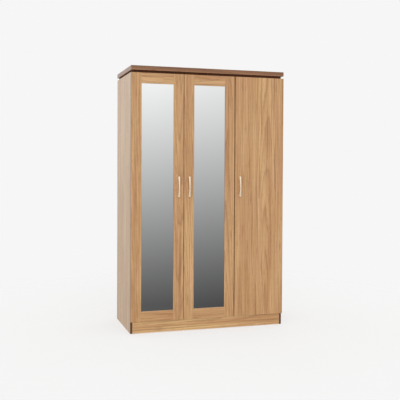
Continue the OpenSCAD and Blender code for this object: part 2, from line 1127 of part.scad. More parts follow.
module hinge_links_middle() {
    color(steel)
        middle_door()
            at_hinges()
                hinge_link();
}

module hinge_links_right() {
    color(steel)
        right_door()
            at_hinges()
                hinge_link();
}

module cup_guide() {
    difference() {
        door_box([guide_low[0], guide_low[1], guide_z],
                 [guide_high[0], guide_high[1], guide_z + guide_t]);
        door_box([slot_low[0], slot_low[1], guide_z - skin],
                 [slot_high[0], slot_high[1], guide_z + guide_t + skin]);
    }
}

module hinge_cup() {
    cup_d = cup_bore_d - 2 * cup_fit;
    difference() {
        union() {
            translate([cup_e, -door_back_d, 0])
                bar_front(cup_d, cup_bore_depth - cup_fit);
            translate([cup_e, -door_back_d + cup_flange_t, 0])
                bar_front(cup_flange_d, cup_flange_t);
            door_box([cup_screw_e - cup_wing_r, door_back_d - cup_flange_t, -cup_screw_spread],
                     [cup_screw_e + cup_wing_r, door_back_d, cup_screw_spread]);
            for (s = [-1, 1])
                translate([cup_screw_e, -door_back_d + cup_flange_t, s * cup_screw_spread])
                    bar_front(2 * cup_wing_r, cup_flange_t);
        }
        translate([cup_e, -door_back_d + cup_flange_t + skin, 0])
            bar_front(cup_d - 2 * cup_wall, cup_bore_depth + cup_flange_t + skin - cup_fit - cup_wall);
        for (s = [-1, 1])
            translate([cup_screw_e, 0, s * cup_screw_spread])
                bar_front(cup_screw_d, door_back_d + skin);
    }
    cup_guide();
    mirror([0, 0, 1])
        cup_guide();
}

module hinge_cups_left() {
    color(steel)
        left_door()
            at_hinges()
                hinge_cup();
}

module hinge_cups_middle() {
    color(steel)
        middle_door()
            at_hinges()
                hinge_cup();
}

module hinge_cups_right() {
    color(steel)
        right_door()
            at_hinges()
                hinge_cup();
}

// ---------- doors, in a door's frame ----------

module cup_bores() {
    at_hinges() {
        translate([cup_e, -door_back_d + skin, 0])
            bar_front(cup_bore_d, cup_bore_depth + skin);
        for (s = [-1, 1])
            translate([cup_screw_e, -door_back_d + skin, s * cup_screw_spread])
                bar_front(cup_screw_d, cup_screw_l + skin);
    }
}

module handle_bores() {
    for (s = [-1, 1])
        translate([handle_e, -door_back_d + skin, handle_z + s * handle_centres / 2])
            bar_front(handle_screw_d, door_t + 2 * skin);
}

module mirror_rebate() {
    door_box([stile_w - rebate_w, door_back_d - skin, rebate_low_z],
             [door_w - stile_w + rebate_w, mirror_face_d, rebate_high_z]);
}

// The two stub tenons at the ends of a rail, or the mortises that take them.
module tenons(low_z, high_z, play) {
    door_box([stile_w - tenon_l - play, tenon_back_d - play, low_z + tenon_shoulder - play],
             [door_w - stile_w + tenon_l + play, tenon_face_d + play, high_z - tenon_shoulder + play]);
}

module all_tenons(play) {
    tenons(door_top_z - top_rail_h + rebate_w, door_top_z, play);
    tenons(door_bottom_z, door_bottom_z + bottom_rail_h - rebate_w, play);
}

module hinge_stile() {
    difference() {
        door_box([0, door_back_d, door_bottom_z], [stile_w, door_face_d, door_top_z]);
        mirror_rebate();
        all_tenons(tenon_gap);
        cup_bores();
    }
}

module handle_stile() {
    difference() {
        door_box([door_w - stile_w, door_back_d, door_bottom_z], [door_w, door_face_d, door_top_z]);
        mirror_rebate();
        all_tenons(tenon_gap);
        handle_bores();
    }
}

module frame_rail(low_z, high_z, tenon_low_z, tenon_high_z) {
    difference() {
        union() {
            door_box([stile_w, door_back_d, low_z], [door_w - stile_w, door_face_d, high_z]);
            tenons(tenon_low_z, tenon_high_z, 0);
        }
        mirror_rebate();
    }
}

module top_rail() {
    frame_rail(door_top_z - top_rail_h, door_top_z, door_top_z - top_rail_h + rebate_w, door_top_z);
}

module bottom_rail() {
    frame_rail(door_bottom_z, door_bottom_z + bottom_rail_h,
               door_bottom_z, door_bottom_z + bottom_rail_h - rebate_w);
}

module rebate_sheet(back_d, face_d) {
    door_box([stile_w - rebate_w + mirror_play, back_d, rebate_low_z + mirror_play],
             [door_w - stile_w + rebate_w - mirror_play, face_d, rebate_high_z - mirror_play]);
}

module mirror_glass() {
    rebate_sheet(mirror_back_d, mirror_face_d);
}

module mirror_backing() {
    rebate_sheet(backing_back_d, mirror_back_d);
}

module mirror_beads() {
    bead_w = rebate_w - mirror_play;
    difference() {
        rebate_sheet(door_back_d, backing_back_d);
        door_box([stile_w, door_back_d - skin, rebate_low_z + mirror_play + bead_w],
                 [door_w - stile_w, backing_back_d + skin, rebate_high_z - mirror_play - bead_w]);
    }
}

module door_panel() {
    difference() {
        door_box([0, door_back_d, door_bottom_z], [plain_door_w, door_face_d, door_top_z]);
        cup_bores();
        handle_bores();
    }
}

// The front outline of a handle, slim in the middle, as a prism that stands on the door.
module handle_outline() {
    wide = handle_end_w / 2;
    slim = handle_waist_w / 2;
    narrow = wide - handle_corner;
    short = handle_half - handle_corner;
    points = [
        [-wide, -short], [-narrow, -handle_half], [narrow, -handle_half], [wide, -short],
        [wide, -taper_half], [slim, -waist_half], [slim, waist_half], [wide, taper_half],
        [wide, short], [narrow, handle_half], [-narrow, handle_half], [-wide, short],
        [-wide, taper_half], [-slim, waist_half], [-slim, -waist_half], [-wide, -taper_half]
    ];
    translate([0, -door_face_d, 0])
        rotate([90, 0, 0])
            linear_extrude(height = handle_reach + skin)
                polygon(points);
}

// An arch between a shallow front curve and a deeper curve underneath.
module handle_bow() {
    difference() {
        translate([-handle_end_w, -bow_centre_d, 0])
            large_bar_x(2 * bow_r, 2 * handle_end_w);
        translate([-2 * handle_end_w, -arch_centre_d, 0])
            large_bar_x(2 * arch_r, 4 * handle_end_w);
    }
}

module handle() {
    translate([handle_e, 0, handle_z])
        difference() {
            intersection() {
                handle_bow();
                handle_outline();
            }
            for (s = [-1, 1])
                translate([0, 0, s * handle_centres / 2])
                    bar_front(handle_screw_d, door_face_d + handle_screw_bite);
        }
}

module door_screws() {
    for (s = [-1, 1])
        translate([handle_e, -door_back_d, handle_z + s * handle_centres / 2]) {
            translate([0, handle_screw_head_t, 0])
                bar_front(handle_screw_head_d, handle_screw_head_t);
            bar_front(handle_screw_d - 2 * fit, door_t + handle_screw_bite - fit);
        }
    at_hinges()
        for (s = [-1, 1])
            translate([cup_screw_e, -door_back_d + cup_flange_t, s * cup_screw_spread]) {
                translate([0, cup_flange_t, 0])
                    bar_front(2 * cup_screw_d, cup_flange_t);
                bar_front(cup_screw_d - 2 * fit, cup_flange_t + cup_screw_l - fit);
            }
}

module bumpers() {
    for (z = [door_bottom_z + bumper_edge, door_top_z - bumper_edge])
        translate([door_w - bumper_inset, -door_back_d + bumper_t, z])
            bar_front(bumper_d, bumper_t);
}

module hinge_stile_left() {
    color(oak)
        left_door()
            hinge_stile();
}

module handle_stile_left() {
    color(oak)
        left_door()
            handle_stile();
}

module top_rail_left() {
    color(oak)
        left_door()
            top_rail();
}

module bottom_rail_left() {
    color(oak)
        left_door()
            bottom_rail();
}

module mirror_left() {
    color(silver)
        left_door()
            mirror_glass();
}

module mirror_backing_left() {
    color(hardboard)
        left_door()
            mirror_backing();
}

module mirror_beads_left() {
    color(oak)
        left_door()
            mirror_beads();
}

module handle_left() {
    color(nickel)
        left_door()
            handle();
}

module door_screws_left() {
    color(zinc)
        left_door()
            door_screws();
}

module bumpers_left() {
    color(clear_plastic)
        left_door()
            bumpers();
}

module hinge_stile_middle() {
    color(oak)
        middle_door()
            hinge_stile();
}

module handle_stile_middle() {
    color(oak)
        middle_door()
            handle_stile();
}

module top_rail_middle() {
    color(oak)
        middle_door()
            top_rail();
}

module bottom_rail_middle() {
    color(oak)
        middle_door()
            bottom_rail();
}

module mirror_middle() {
    color(silver)
        middle_door()
            mirror_glass();
}

module mirror_backing_middle() {
    color(hardboard)
        middle_door()
            mirror_backing();
}

module mirror_beads_middle() {
    color(oak)
        middle_door()
            mirror_beads();
}

module handle_middle() {
    color(nickel)
        middle_door()
            handle();
}

module door_screws_middle() {
    color(zinc)
        middle_door()
            door_screws();
}

module bumpers_middle() {
    color(clear_plastic)
        middle_door()
            bumpers();
}

module door_panel_right() {
    color(oak)
        right_door()
            door_panel();
}

module handle_right() {
    color(nickel)
        right_door()
            handle();
}

module door_screws_right() {
    color(zinc)
        right_door()
            door_screws();
}

module bumpers_right() {
    color(clear_plastic)
        right_door()
            bumpers();
}

// ---------- draw ----------

side_panel_left();
side_panel_right();
side_edging();
centre_partition();
bottom_board();
carcass_top();
top_board();
spacer_strips();
plinth_front();
plinth_back();
plinth_support();
back_panel_left();
back_panel_middle();
back_panel_right();
back_joint_strip();
hat_shelf();
hanging_rail();
rail_sockets();
shelf_lower();
shelf_middle();
shelf_upper();
shelf_pins();
cam_locks();
cam_bolts();
back_nails();
floor_glides();
hinge_plates();
hinge_arms();
carcass_screws();
hinge_stile_left();
handle_stile_left();
top_rail_left();
bottom_rail_left();
mirror_left();
mirror_backing_left();
mirror_beads_left();
handle_left();
hinge_cups_left();
door_screws_left();
bumpers_left();
hinge_stile_middle();
handle_stile_middle();
top_rail_middle();
bottom_rail_middle();
mirror_middle();
mirror_backing_middle();
mirror_beads_middle();
handle_middle();
hinge_cups_middle();
door_screws_middle();
bumpers_middle();
door_panel_right();
handle_right();
hinge_cups_right();
door_screws_right();
bumpers_right();
hinge_links_left();
hinge_links_middle();
hinge_links_right();
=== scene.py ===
"""Finishes and fine pieces for a wardrobe with two mirrored doors and one plain door."""

import json
import math
import random

import bmesh
import bpy
from mathutils import Matrix, Vector

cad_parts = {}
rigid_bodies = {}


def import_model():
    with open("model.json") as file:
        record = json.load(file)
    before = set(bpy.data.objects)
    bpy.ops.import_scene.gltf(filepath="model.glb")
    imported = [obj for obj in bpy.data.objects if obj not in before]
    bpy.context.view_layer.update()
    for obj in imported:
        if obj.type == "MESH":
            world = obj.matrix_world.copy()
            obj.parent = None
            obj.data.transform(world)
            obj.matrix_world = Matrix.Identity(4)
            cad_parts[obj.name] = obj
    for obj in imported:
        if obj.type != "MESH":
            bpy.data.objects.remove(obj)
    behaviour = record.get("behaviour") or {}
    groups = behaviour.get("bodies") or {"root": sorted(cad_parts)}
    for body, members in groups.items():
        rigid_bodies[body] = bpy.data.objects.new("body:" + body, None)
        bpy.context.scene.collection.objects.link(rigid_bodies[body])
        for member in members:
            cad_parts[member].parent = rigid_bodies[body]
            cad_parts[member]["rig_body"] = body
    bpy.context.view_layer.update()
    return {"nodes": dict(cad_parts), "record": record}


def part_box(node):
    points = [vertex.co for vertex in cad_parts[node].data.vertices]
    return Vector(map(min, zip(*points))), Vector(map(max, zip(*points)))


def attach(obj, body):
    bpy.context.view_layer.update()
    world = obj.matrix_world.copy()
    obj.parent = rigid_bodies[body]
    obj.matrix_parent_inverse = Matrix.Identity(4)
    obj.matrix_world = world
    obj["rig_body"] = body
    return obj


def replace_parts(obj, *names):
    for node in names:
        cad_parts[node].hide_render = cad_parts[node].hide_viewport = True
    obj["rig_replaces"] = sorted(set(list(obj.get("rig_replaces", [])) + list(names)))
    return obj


bl_info = {
    "name": "Mirrored Wardrobe Finishes",
    "version": (1, 0, 0),
    "blender": (4, 5, 0),
    "location": "View3D > Sidebar > Wardrobe",
    "description": "Gives the packed wardrobe its wood, metal and mirror finishes",
    "category": "Object",
}

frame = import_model()
NODES = frame["nodes"]
SLOT_OF = {part["node"]: part["material_slot"] for part in frame["record"]["subparts"]}

AXES = "XYZ"
MIRRORED_DOORS = ("left", "middle")
DOORS = ("left", "middle", "right")

# Lengths below are in metres.
SAME_PLACE = 1e-6
TOUCHING = 1e-5
FLAT_ANGLE = math.radians(0.5)
SHORTEST_EASED_EDGE = 0.004
EASING_SEGMENTS = 3
TAPE_DEPTH = 0.0004
TAPE_FACING = 0.9

HANDLE_CORNER = 0.0014
HANDLE_CROWN = 0.0005
HANDLE_END_ROUND = 0.0024
HANDLE_FOOT_STEP = 0.0029
HANDLE_ARCH_STEP = 0.0004
HANDLE_END_LOOPS = 9
HANDLE_FOOT_LOOPS = 3
HANDLE_ARCH_LOOPS = 20
HANDLE_CORNER_POINTS = 6
HANDLE_SHARP_ANGLE = math.radians(42)

# One layer of the printed figure: features to the metre across, through and along the grain,
# detail and roughness of its noise, and the part of the noise that it spreads from 0 to 1.
FIGURE_LAYERS = {
    "broad": ((13, 13, 0.9), 2, 0.5, 0.32, 0.68),
    "bands": ((48, 48, 1.6), 3, 0.5, 0.3, 0.72),
    "fibres": ((230, 230, 4), 4, 0.65, 0.3, 0.7),
    "pores": ((900, 900, 26), 1, 0.5, 0.57, 0.7),
    "patches": ((11, 11, 2.6), 2, 0.5, 0.36, 0.64),
    "streaks": ((75, 75, 1.3), 3, 0.5, 0.54, 0.74),
    "dashes": ((120, 120, 8), 3, 0.6, 0.54, 0.7),
}
# How much each layer pulls the tone towards that of the grain
GRAIN_SHARES = {"streaks": 0.5, "dashes": 0.3, "rings": 1.0, "fibres": 0.16, "pores": 0.5}
# How much of the paleness comes from the narrow bands, the rest from the broad ones
BAND_SHARE = 0.6
# Darkness across one growth ring, from its early to its late wood
RING_SHADES = ((0, 0.35), (0.12, 0.05), (0.5, 0.1), (0.82, 0.6), (0.95, 1), (1, 0.4))
GOLDEN_SHIFT = (0.98, 1.0, 0.9)
# Where the middle of the trunk lies from the board, how it narrows upwards and how it sways
PITH_ASIDE = 0.06
PITH_DEPTH = (0.045, 0.08)
TRUNK_TAPER = (0.022, 0.038)
TRUNK_WANDER = (4, 4, 0.9)
TRUNK_SWAY = 0.09
RING_WOBBLE = (22, 22, 2.2)
RING_SWAY = 0.016
PRINT_LENGTH = 40
FIBRE_SHEEN = 0.05
PORE_DULLNESS = 0.14
FIBRE_RELIEF = 0.3
PORE_RELIEF = 0.8
FOIL_RELIEF_DEPTH = 0.00012
FOIL_RELIEF_STRENGTH = 0.3

FLOOR_RADIUS = 5
FLOOR_FADE = (1.2, 4.5)
DOME_RADIUS = 12
DOME_HEIGHT = 1
# Heights on the dome, from its middle, between which its front goes from dark to pale
DOME_RISE = (-3.1, 2.05)
DOME_DARKEST = 0.34
DOME_SLOPE = 0.745
DOME_BEND = -0.149
# How far to the right the front of the dome dims, and by how much
DOME_ASIDE = (1.9, 4.2)
DOME_DIMMING = -0.045
DOME_BELOW = (-6.5, -4.3)
DOME_BELOW_LEVEL = 0.88
DOME_BEHIND = (-6.0, 0.0)
DOME_BEHIND_LEVELS = (0.2, 0.8)
DISPLAY_GAMMA = 2.2
DOME_STRENGTH = 1.1


def shade(red, green, blue):
    """Linear colour of a shade given in the 0 to 255 steps of a colour picker."""
    return tuple(((step / 255 + 0.055) / 1.055) ** 2.4 for step in (red, green, blue))


def tinted(colour, shares):
    """The colour with each of its three parts scaled by its share."""
    return tuple(part * share for part, share in zip(colour, shares))


def dulled(colour, share):
    """The colour at a share of its brightness."""
    return tuple(part * share for part in colour)


class WardrobeWoodSettings(bpy.types.PropertyGroup):
    """Tones and figure of the wood-effect foils"""

    oak_pale: bpy.props.FloatVectorProperty(
        name="Oak, pale",
        description="Lightest tone of the oak foil",
        default=shade(220, 178, 130),
        subtype="COLOR",
        min=0,
        max=1,
    )
    oak_warm: bpy.props.FloatVectorProperty(
        name="Oak, warm",
        description="Middle tone of the oak foil",
        default=shade(186, 137, 92),
        subtype="COLOR",
        min=0,
        max=1,
    )
    oak_grain: bpy.props.FloatVectorProperty(
        name="Oak, grain",
        description="Tone of the grain lines and pores in the oak foil",
        default=shade(134, 90, 54),
        subtype="COLOR",
        min=0,
        max=1,
    )
    walnut_pale: bpy.props.FloatVectorProperty(
        name="Walnut, pale",
        description="Lightest tone of the walnut foil",
        default=shade(164, 117, 82),
        subtype="COLOR",
        min=0,
        max=1,
    )
    walnut_warm: bpy.props.FloatVectorProperty(
        name="Walnut, warm",
        description="Middle tone of the walnut foil",
        default=shade(138, 94, 62),
        subtype="COLOR",
        min=0,
        max=1,
    )
    walnut_grain: bpy.props.FloatVectorProperty(
        name="Walnut, grain",
        description="Tone of the grain lines in the walnut foil",
        default=shade(82, 48, 28),
        subtype="COLOR",
        min=0,
        max=1,
    )
    dark_pale: bpy.props.FloatVectorProperty(
        name="Dark walnut, pale",
        description="Lightest tone of the dark strips under the top board",
        default=shade(98, 50, 20),
        subtype="COLOR",
        min=0,
        max=1,
    )
    dark_grain: bpy.props.FloatVectorProperty(
        name="Dark walnut, grain",
        description="Darkest tone of the dark strips under the top board",
        default=shade(38, 19, 8),
        subtype="COLOR",
        min=0,
        max=1,
    )
    # Painted sheen: this tint pales and greys the foil of the sides and the partition,
    # standing in for the pale sheen the sides show at a grazing angle
    painted_sheen_tint: bpy.props.FloatVectorProperty(
        name="Side tint",
        description="How the foil of the sides departs from that of the doors",
        default=(0.985, 1.13, 1.36),
        subtype="COLOR",
        min=0.5,
        max=1.5,
    )
    # Painted light: this tint brightens and cools the foil of the plinth, cancelling the shade
    # it gets in its recess under the doors
    plinth_painted_light: bpy.props.FloatVectorProperty(
        name="Plinth tint",
        description="How the foil of the plinth departs from that of the doors",
        default=(1.13, 1.2, 1.23),
        subtype="COLOR",
        min=0.5,
        max=1.5,
    )
    hardboard: bpy.props.FloatVectorProperty(
        name="Hardboard",
        description="Colour of the thin sheets at the back",
        default=shade(186, 146, 104),
        subtype="COLOR",
        min=0,
        max=1,
    )
    ring_gap: bpy.props.FloatProperty(
        name="Ring gap",
        description="Distance between two growth rings of the figure",
        default=0.011,
        min=0.003,
        max=0.03,
        unit="LENGTH",
    )
    softening: bpy.props.FloatProperty(
        name="Edge softening",
        description="Width of the softened edges of the boards",
        default=0.0007,
        min=0.0002,
        max=0.0015,
        unit="LENGTH",
    )
    print_run: bpy.props.IntProperty(
        name="Print run",
        description="Picks which stretch of the printed figure each board shows",
        default=3,
        min=0,
    )
    figure: bpy.props.FloatProperty(
        name="Figure",
        description="How strongly the grain stands out",
        default=1.4,
        min=0,
        max=1.8,
        subtype="FACTOR",
    )
    gloss: bpy.props.FloatProperty(
        name="Foil roughness",
        description="Roughness of the foil, from mirror-like to matte",
        default=0.3,
        min=0.1,
        max=0.9,
        subtype="FACTOR",
    )


class WardrobeMetalSettings(bpy.types.PropertyGroup):
    """Shape of the handles and colours of the metal, glass and plastic parts"""

    end_width: bpy.props.FloatProperty(
        name="Handle end width",
        description="Width of a handle at its two feet",
        default=0.011,
        min=0.008,
        max=0.011,
        unit="LENGTH",
    )
    waist_width: bpy.props.FloatProperty(
        name="Handle waist width",
        description="Width of a handle at its middle",
        default=0.0085,
        min=0.006,
        max=0.011,
        unit="LENGTH",
    )
    thickness: bpy.props.FloatProperty(
        name="Handle thickness",
        description="Thickness of a handle at its middle",
        default=0.005,
        min=0.003,
        max=0.006,
        unit="LENGTH",
    )
    foot_length: bpy.props.FloatProperty(
        name="Handle foot length",
        description="Length of each foot of a handle",
        default=0.014,
        min=0.012,
        max=0.018,
        unit="LENGTH",
    )
    bow_rise: bpy.props.FloatProperty(
        name="Handle bow",
        description="How far the middle of a handle stands in front of its ends",
        default=0.008,
        min=0.004,
        max=0.012,
        unit="LENGTH",
    )
    metal_share: bpy.props.FloatProperty(
        name="Handle metal share",
        description="How much of the handles' look is bare metal and not milky lacquer",
        default=0.35,
        min=0,
        max=1,
        subtype="FACTOR",
    )
    nickel: bpy.props.FloatVectorProperty(
        name="Satin nickel",
        description="Colour of the handles",
        default=shade(246, 226, 200),
        subtype="COLOR",
        min=0,
        max=1,
    )
    chrome: bpy.props.FloatVectorProperty(
        name="Chrome",
        description="Colour of the hanging rail",
        default=shade(232, 233, 236),
        subtype="COLOR",
        min=0,
        max=1,
    )
    zinc: bpy.props.FloatVectorProperty(
        name="Zinc",
        description="Colour of the screws, pins and rail sockets",
        default=shade(206, 209, 216),
        subtype="COLOR",
        min=0,
        max=1,
    )
    hinge_steel: bpy.props.FloatVectorProperty(
        name="Hinge steel",
        description="Colour of the pressed hinge parts",
        default=shade(198, 198, 202),
        subtype="COLOR",
        min=0,
        max=1,
    )
    silvering: bpy.props.FloatVectorProperty(
        name="Mirror silvering",
        description="Tint of what the mirrors show",
        default=shade(246, 247, 247),
        subtype="COLOR",
        min=0,
        max=1,
    )
    white_plastic: bpy.props.FloatVectorProperty(
        name="White plastic",
        description="Colour of the glides and the joint strip",
        default=shade(238, 237, 232),
        subtype="COLOR",
        min=0,
        max=1,
    )
    clear_plastic: bpy.props.FloatVectorProperty(
        name="Clear plastic",
        description="Colour of the soft buffers behind the doors",
        default=shade(222, 226, 224),
        subtype="COLOR",
        min=0,
        max=1,
    )


class WardrobeStudioSettings(bpy.types.PropertyGroup):
    """Floor, light and camera"""

    backdrop: bpy.props.FloatVectorProperty(
        name="Backdrop",
        description="Colour of the plain surroundings",
        default=shade(246, 246, 246),
        subtype="COLOR",
        min=0,
        max=1,
    )
    floor: bpy.props.FloatVectorProperty(
        name="Floor",
        description="Colour of the pale floor",
        default=shade(245, 245, 245),
        subtype="COLOR",
        min=0,
        max=1,
    )
    floor_clearness: bpy.props.FloatProperty(
        name="Floor clearness",
        description="How much of the pale surroundings the floor lets through near the middle",
        default=0.65,
        min=0,
        max=1,
        subtype="FACTOR",
    )
    key_strength: bpy.props.FloatProperty(
        name="Key light",
        description="Strength of the soft light from the front",
        default=0.62,
        min=0,
        max=5,
    )
    key_spread: bpy.props.FloatProperty(
        name="Key spread",
        description="How wide the soft light is, which softens its shadows",
        default=math.radians(50),
        min=0,
        max=math.radians(120),
        subtype="ANGLE",
    )
    key_heading: bpy.props.FloatProperty(
        name="Key heading",
        description="How far to the right of straight in front the soft light comes from",
        default=math.radians(-14),
        subtype="ANGLE",
    )
    key_height: bpy.props.FloatProperty(
        name="Key height",
        description="How high above level the soft light comes from",
        default=math.radians(32),
        min=0,
        max=math.radians(90),
        subtype="ANGLE",
    )
    camera_place: bpy.props.FloatVectorProperty(
        name="Camera place",
        description="Where the camera stands",
        default=(-1.4853, -4.8611, 1.1469),
        subtype="XYZ",
        unit="LENGTH",
    )
    camera_heading: bpy.props.FloatProperty(
        name="Camera heading",
        description="How far the camera is turned to the right of straight ahead",
        default=math.radians(17.255),
        subtype="ANGLE",
    )
    camera_tilt: bpy.props.FloatProperty(
        name="Camera tilt",
        description="How far the camera looks up",
        default=math.radians(-1.2),
        subtype="ANGLE",
    )
    camera_roll: bpy.props.FloatProperty(
        name="Camera roll",
        description="Turn of the camera about its own view",
        default=math.radians(0.266),
        subtype="ANGLE",
    )
    camera_shift: bpy.props.FloatVectorProperty(
        name="Camera shift",
        description="Sideways and upright shift of the framing",
        default=(-0.006, -0.0483),
        size=2,
    )
    camera_lens: bpy.props.FloatProperty(
        name="Lens",
        description="Focal length in millimetres",
        default=62.47,
        min=20,
        max=200,
        subtype="DISTANCE_CAMERA",
    )


class Finish:
    """A node material in the making, with short calls for the nodes that it uses."""

    def __init__(self, name):
        self.material = bpy.data.materials.new(name)
        self.material.use_nodes = True
        self.tree = self.material.node_tree
        self.shader = self.tree.nodes["Principled BSDF"]
        self.place = self.node("ShaderNodeTexCoord").outputs["Object"]

    def node(self, kind, **settings):
        made = self.tree.nodes.new(kind)
        for key, value in settings.items():
            setattr(made, key, value)
        return made

    def feed(self, socket, value):
        if isinstance(value, bpy.types.NodeSocket):
            self.tree.links.new(value, socket)
        elif isinstance(value, (tuple, Vector)) and len(socket.default_value) == 4:
            socket.default_value = (*value, 1)
        else:
            socket.default_value = value

    def math(self, operation, *values, clamp=False):
        made = self.node("ShaderNodeMath", operation=operation, use_clamp=clamp)
        for socket, value in zip(made.inputs, values):
            self.feed(socket, value)
        return made.outputs[0]

    def vector(self, operation, first, second):
        made = self.node("ShaderNodeVectorMath", operation=operation)
        self.feed(made.inputs[0], first)
        self.feed(made.inputs[1], second)
        return made.outputs["Value" if operation == "LENGTH" else "Vector"]

    def noise(self, place, stretch, detail=2.0, roughness=0.5):
        """Soft noise from 0 to 1, with that many features to the metre along each axis."""
        made = self.node("ShaderNodeTexNoise")
        self.feed(made.inputs["Vector"], self.vector("MULTIPLY", place, Vector(stretch)))
        made.inputs["Scale"].default_value = 1
        made.inputs["Detail"].default_value = detail
        made.inputs["Roughness"].default_value = roughness
        return made.outputs["Fac"]

    def cells(self, place, stretch):
        made = self.node("ShaderNodeTexVoronoi")
        self.feed(made.inputs["Vector"], self.vector("MULTIPLY", place, Vector(stretch)))
        made.inputs["Scale"].default_value = 1
        return made.outputs["Color"]

    def layer(self, place, stretch, detail, roughness, low, high):
        """One layer of printed figure, as in FIGURE_LAYERS."""
        return self.spread(self.noise(place, stretch, detail, roughness), low, high)

    def spread(self, value, low, high, to_low=0.0, to_high=1.0):
        made = self.node("ShaderNodeMapRange", interpolation_type="SMOOTHSTEP")
        for socket, number in zip(made.inputs, (value, low, high, to_low, to_high)):
            self.feed(socket, number)
        return made.outputs["Result"]

    def ramp(self, value, stops):
        made = self.node("ShaderNodeValToRGB")
        elements = made.color_ramp.elements
        while len(elements) < len(stops):
            elements.new(0.5)
        for element, (position, level) in zip(elements, stops):
            element.position = position
            element.color = (level, level, level, 1)
        self.feed(made.inputs["Fac"], value)
        return made.outputs["Color"]

    def mix(self, share, first, second):
        """Mixes two colours by a share that may be a socket or a number."""
        made = self.node("ShaderNodeMix", data_type="RGBA")
        colour_inputs = [s for s in made.inputs if s.type == "RGBA"]
        self.feed(made.inputs[0], share)
        self.feed(colour_inputs[0], first)
        self.feed(colour_inputs[1], second)
        return next(s for s in made.outputs if s.type == "RGBA")

    def relief(self, height, depth, strength):
        made = self.node("ShaderNodeBump")
        made.inputs["Strength"].default_value = strength
        made.inputs["Distance"].default_value = depth
        self.feed(made.inputs["Height"], height)
        self.feed(self.shader.inputs["Normal"], made.outputs["Normal"])

    def surface(self, colour, roughness, metallic=0.0):
        self.feed(self.shader.inputs["Base Color"], colour)
        self.feed(self.shader.inputs["Roughness"], roughness)
        self.shader.inputs["Metallic"].default_value = metallic
        return self.material


def turned_board(finish, along, across, middle):
    """Place on a board, from its middle: across the grain, through the board, along it."""
    depth = next(axis for axis in AXES if axis not in (along, across))
    parts = finish.node("ShaderNodeSeparateXYZ")
    finish.feed(parts.inputs[0], finish.vector("SUBTRACT", finish.place, Vector(middle)))
    turned = finish.node("ShaderNodeCombineXYZ")
    for socket, axis in zip(turned.inputs, (across, depth, along)):
        finish.feed(socket, parts.outputs[axis])
    return turned.outputs[0]


def growth_rings(finish, board, print_place, chance, ring_gap):
    """Rings of a trunk that the board was sawn from, as darkness from 0 to 1."""
    pith_side = chance.uniform(-PITH_ASIDE, PITH_ASIDE)
    pith_depth = chance.uniform(*PITH_DEPTH)
    taper = chance.uniform(*TRUNK_TAPER) * chance.choice((-1, 1))
    split = finish.node("ShaderNodeSeparateXYZ")
    finish.feed(split.inputs[0], board)
    wander = finish.noise(print_place, TRUNK_WANDER, 1)
    side = finish.math("MULTIPLY_ADD", wander, TRUNK_SWAY, split.outputs["X"])
    side = finish.math("ADD", side, pith_side - TRUNK_SWAY / 2)
    rise = finish.math("MULTIPLY_ADD", split.outputs["Z"], taper, split.outputs["Y"])
    rise = finish.math("ADD", rise, pith_depth)
    squares = [finish.math("MULTIPLY", length, length) for length in (side, rise)]
    distance = finish.math("SQRT", finish.math("ADD", *squares))
    wobble = finish.noise(print_place, RING_WOBBLE, 3, 0.55)
    distance = finish.math("MULTIPLY_ADD", wobble, RING_SWAY, distance)
    ring = finish.math("FRACT", finish.math("DIVIDE", distance, ring_gap))
    return finish.ramp(ring, RING_SHADES)


def wood_foil(name, tones, along, across, middle, seed, settings, dullness=0.0):
    """Foil printed with sawn wood whose grain runs along one axis of the wardrobe."""
    pale, warm, grain = (tuple(tone) for tone in tones)
    chance = random.Random(f"{seed} {settings.print_run}")
    shift = Vector([chance.uniform(-PRINT_LENGTH, PRINT_LENGTH) for _ in AXES])
    finish = Finish(name)
    board = turned_board(finish, along, across, middle)
    print_place = finish.vector("ADD", board, shift)
    rings = growth_rings(finish, board, print_place, chance, settings.ring_gap)
    layers = {
        layer: finish.layer(print_place, *make) for layer, make in FIGURE_LAYERS.items()
    }
    fibres = layers["fibres"]
    pores_by_ring = finish.math("MULTIPLY_ADD", rings, 0.7, 0.3)
    pores = finish.math("MULTIPLY", layers["pores"], pores_by_ring)

    broad = finish.math("MULTIPLY", layers["broad"], 1 - BAND_SHARE)
    paleness = finish.math("MULTIPLY_ADD", layers["bands"], BAND_SHARE, broad)
    palest = finish.mix(layers["patches"], pale, tinted(pale, GOLDEN_SHIFT))
    tone = finish.mix(paleness, warm, palest)
    ring_lines = finish.math("MULTIPLY_ADD", fibres, 0.28, 0.14)
    for layer, share in (
        (layers["streaks"], GRAIN_SHARES["streaks"]),
        (layers["dashes"], GRAIN_SHARES["dashes"]),
        (finish.math("MULTIPLY", rings, ring_lines), GRAIN_SHARES["rings"]),
        (finish.math("SUBTRACT", 1.0, fibres), GRAIN_SHARES["fibres"]),
        (pores, GRAIN_SHARES["pores"]),
    ):
        pull = finish.math("MULTIPLY", layer, share * settings.figure)
        tone = finish.mix(pull, tone, grain)

    dullest = settings.gloss + dullness + FIBRE_SHEEN
    roughness = finish.math("MULTIPLY_ADD", fibres, -FIBRE_SHEEN, dullest)
    roughness = finish.math("MULTIPLY_ADD", pores, PORE_DULLNESS, roughness)
    raised = finish.math("MULTIPLY", fibres, FIBRE_RELIEF)
    height = finish.math("MULTIPLY_ADD", pores, -PORE_RELIEF, raised)
    finish.relief(height, FOIL_RELIEF_DEPTH, FOIL_RELIEF_STRENGTH)
    return finish.surface(tone, roughness)


def hardboard_sheet(name, settings):
    """Thin pressed board with a printed face and fine flecks."""
    colour = tuple(settings.hardboard)
    finish = Finish(name)
    clouds = finish.noise(finish.place, (7, 7, 7), 3)
    fleck = finish.spread(finish.noise(finish.place, (420, 420, 90), 3, 0.7), 0.45, 0.75)
    dull = dulled(colour, 0.72)
    tone = finish.mix(finish.math("MULTIPLY", clouds, 0.5), colour, dull)
    tone = finish.mix(finish.math("MULTIPLY", fleck, 0.5), tone, dull)
    finish.relief(fleck, 0.0002, 0.35)
    roughness = finish.math("MULTIPLY_ADD", fleck, 0.15, 0.62)
    return finish.surface(tone, roughness)


